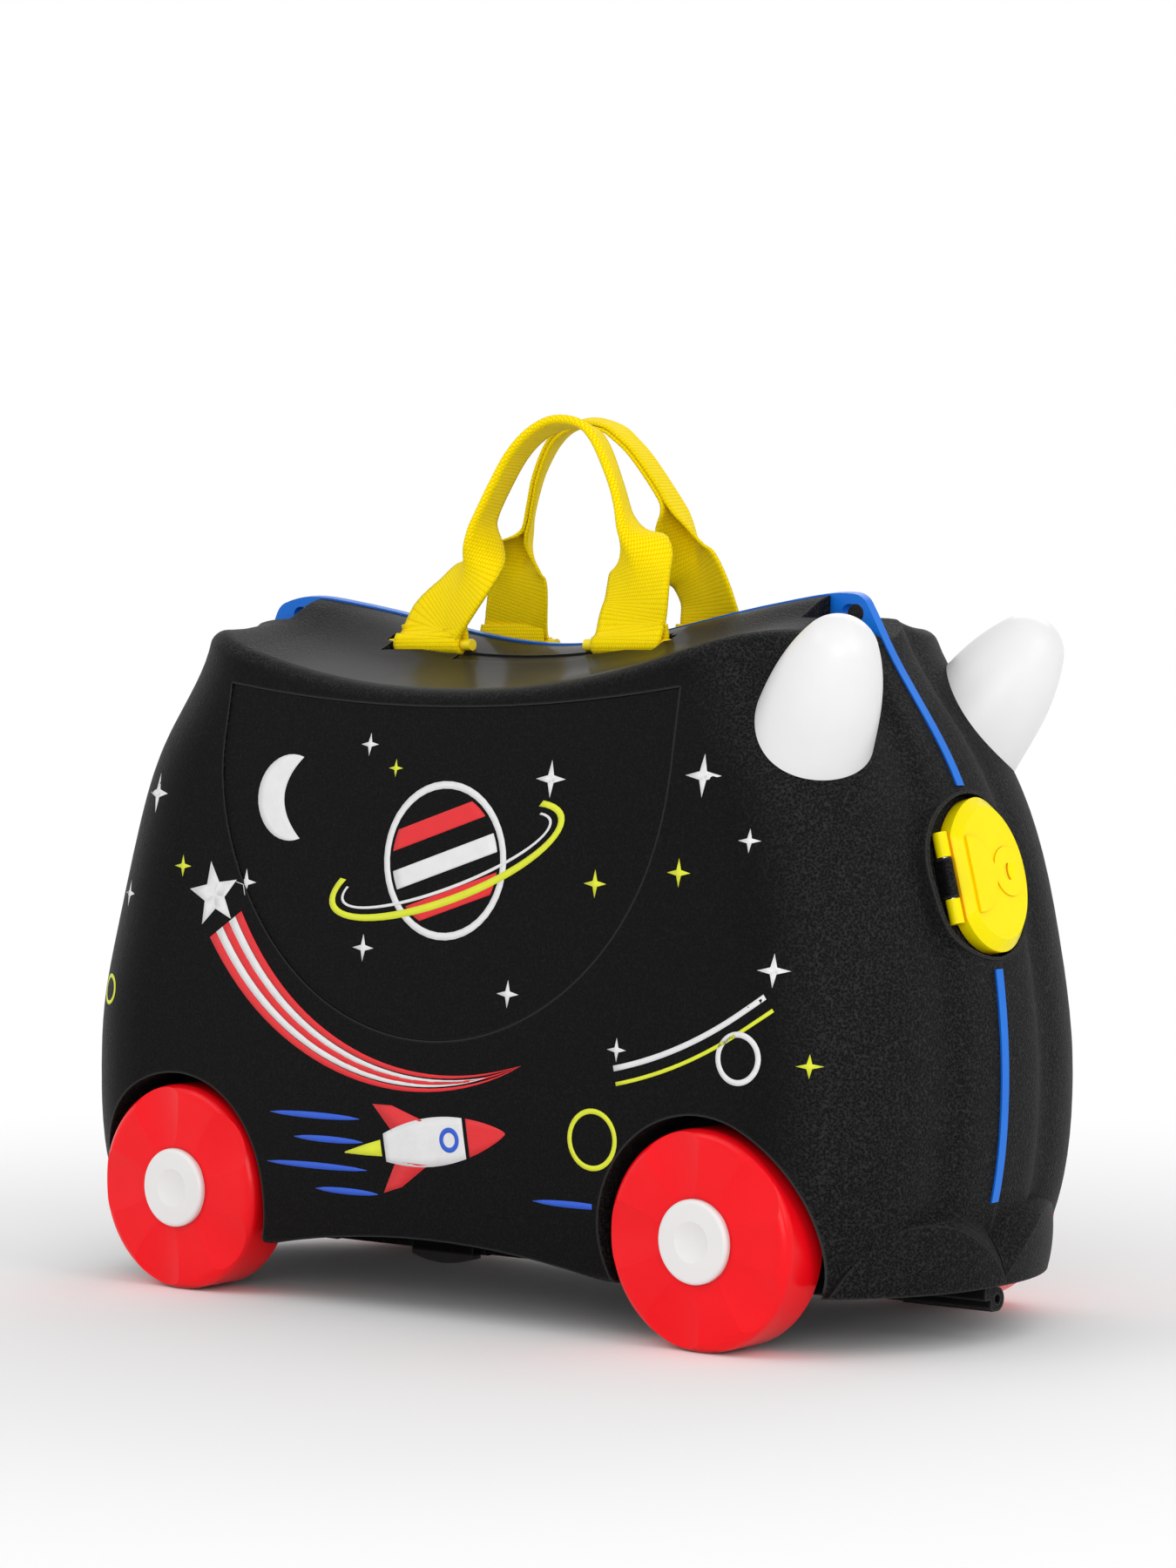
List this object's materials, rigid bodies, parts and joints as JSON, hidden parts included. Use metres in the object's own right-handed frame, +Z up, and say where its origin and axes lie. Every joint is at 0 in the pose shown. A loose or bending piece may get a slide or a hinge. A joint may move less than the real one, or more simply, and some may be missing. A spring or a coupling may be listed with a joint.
{
  "type": "ride-on suitcase",
  "caption": "Saddle-shaped hard case for a child to ride on: two half shells hinged along the floor seam, rolling wheels, grip horns, webbing handles, catches and tow loops.",
  "frame": {"origin": "on the floor below the middle of the case", "axes": "+X to the horn end, +Y to the left half, +Z up"},
  "size_m": [0.4629, 0.21, 0.3895],
  "materials": {
    "shell_black": "fine moulded grain",
    "trim_blue": "satin",
    "horn_white": "satin gloss",
    "wheel_red": "gloss",
    "cap_white": "satin gloss",
    "strap_yellow": "woven webbing",
    "bar_yellow": "satin",
    "catch_yellow": "satin gloss",
    "lock_yellow": "satin gloss",
    "skid_black": "matte",
    "ring_steel": "spring steel",
    "pin_steel": "drawn"
  },
  "bodies": {
    "right_half": {"right_shell": "shell_black", "seam_trim_top": "trim_blue", "seam_trim_front": "trim_blue", "seam_trim_rear": "trim_blue", "right_horn": "horn_white", "right_horn_ring": "ring_steel", "front_catch_pin": "pin_steel", "rear_catch_pin": "pin_steel", "front_hinge_pin": "pin_steel", "rear_hinge_pin": "pin_steel", "skid_foot": "skid_black", "front_right_axle": "pin_steel", "front_right_axle_clip": "pin_steel", "rear_right_axle": "pin_steel", "rear_right_axle_clip": "pin_steel"},
    "left_half": {"left_shell": "shell_black", "left_horn": "horn_white", "left_horn_ring": "ring_steel", "front_left_axle": "pin_steel", "front_left_axle_clip": "pin_steel", "rear_left_axle": "pin_steel", "rear_left_axle_clip": "pin_steel"},
    "front_right_wheel": {"front_right_wheel": "wheel_red", "front_right_hub_cap": "cap_white"},
    "front_left_wheel": {"front_left_wheel": "wheel_red", "front_left_hub_cap": "cap_white"},
    "rear_right_wheel": {"rear_right_wheel": "wheel_red", "rear_right_hub_cap": "cap_white"},
    "rear_left_wheel": {"rear_left_wheel": "wheel_red", "rear_left_hub_cap": "cap_white"},
    "front_catch": {"front_catch": "catch_yellow"},
    "front_lock": {"front_lock_barrel": "lock_yellow"},
    "rear_catch": {"rear_catch": "catch_yellow"},
    "rear_lock": {"rear_lock_barrel": "lock_yellow"},
    "right_handle": {"right_handle_strap": "strap_yellow", "right_handle_bars": "bar_yellow"},
    "left_handle": {"left_handle_strap": "strap_yellow", "left_handle_bars": "bar_yellow"}
  },
  "joints": [
    {"name": "case_hinge", "type": "hinge", "parent": "right_half", "child": "left_half", "pos_m": [0, 0, 0.018], "axis": [-1, 0, 0], "range_deg": [0, 140]},
    {"name": "front_right_wheel_spin", "type": "hinge", "parent": "right_half", "child": "front_right_wheel", "pos_m": [0.1454, -0.089, 0.046], "axis": [0, 1, 0], "continuous": true},
    {"name": "front_left_wheel_spin", "type": "hinge", "parent": "left_half", "child": "front_left_wheel", "pos_m": [0.1454, 0.089, 0.046], "axis": [0, 1, 0], "continuous": true},
    {"name": "rear_right_wheel_spin", "type": "hinge", "parent": "right_half", "child": "rear_right_wheel", "pos_m": [-0.1454, -0.089, 0.046], "axis": [0, 1, 0], "continuous": true},
    {"name": "rear_left_wheel_spin", "type": "hinge", "parent": "left_half", "child": "rear_left_wheel", "pos_m": [-0.1454, 0.089, 0.046], "axis": [0, 1, 0], "continuous": true},
    {"name": "front_catch_hinge", "type": "hinge", "parent": "right_half", "child": "front_catch", "pos_m": [0.21663, -0.024, 0.19354], "axis": [0.2432, 0, -0.97], "range_deg": [0, 100]},
    {"name": "front_lock_turn", "type": "hinge", "parent": "front_catch", "child": "front_lock", "pos_m": [0.21847, 0.0115, 0.194], "axis": [0.97, 0, 0.2432], "range_deg": [0, 90]},
    {"name": "rear_catch_hinge", "type": "hinge", "parent": "right_half", "child": "rear_catch", "pos_m": [-0.21378, -0.024, 0.19354], "axis": [0.244, 0, 0.9698], "range_deg": [0, 100]},
    {"name": "rear_lock_turn", "type": "hinge", "parent": "rear_catch", "child": "rear_lock", "pos_m": [-0.21563, 0.0115, 0.194], "axis": [-0.9698, 0, 0.244], "range_deg": [0, 90]},
    {"name": "right_handle_swing", "type": "hinge", "parent": "right_half", "child": "right_handle", "pos_m": [0, -0.03, 0.28908], "axis": [1, 0, 0], "range_deg": [0, 80]},
    {"name": "left_handle_swing", "type": "hinge", "parent": "left_half", "child": "left_handle", "pos_m": [0, 0.03, 0.28908], "axis": [-1, 0, 0], "range_deg": [0, 80]}
  ]
}
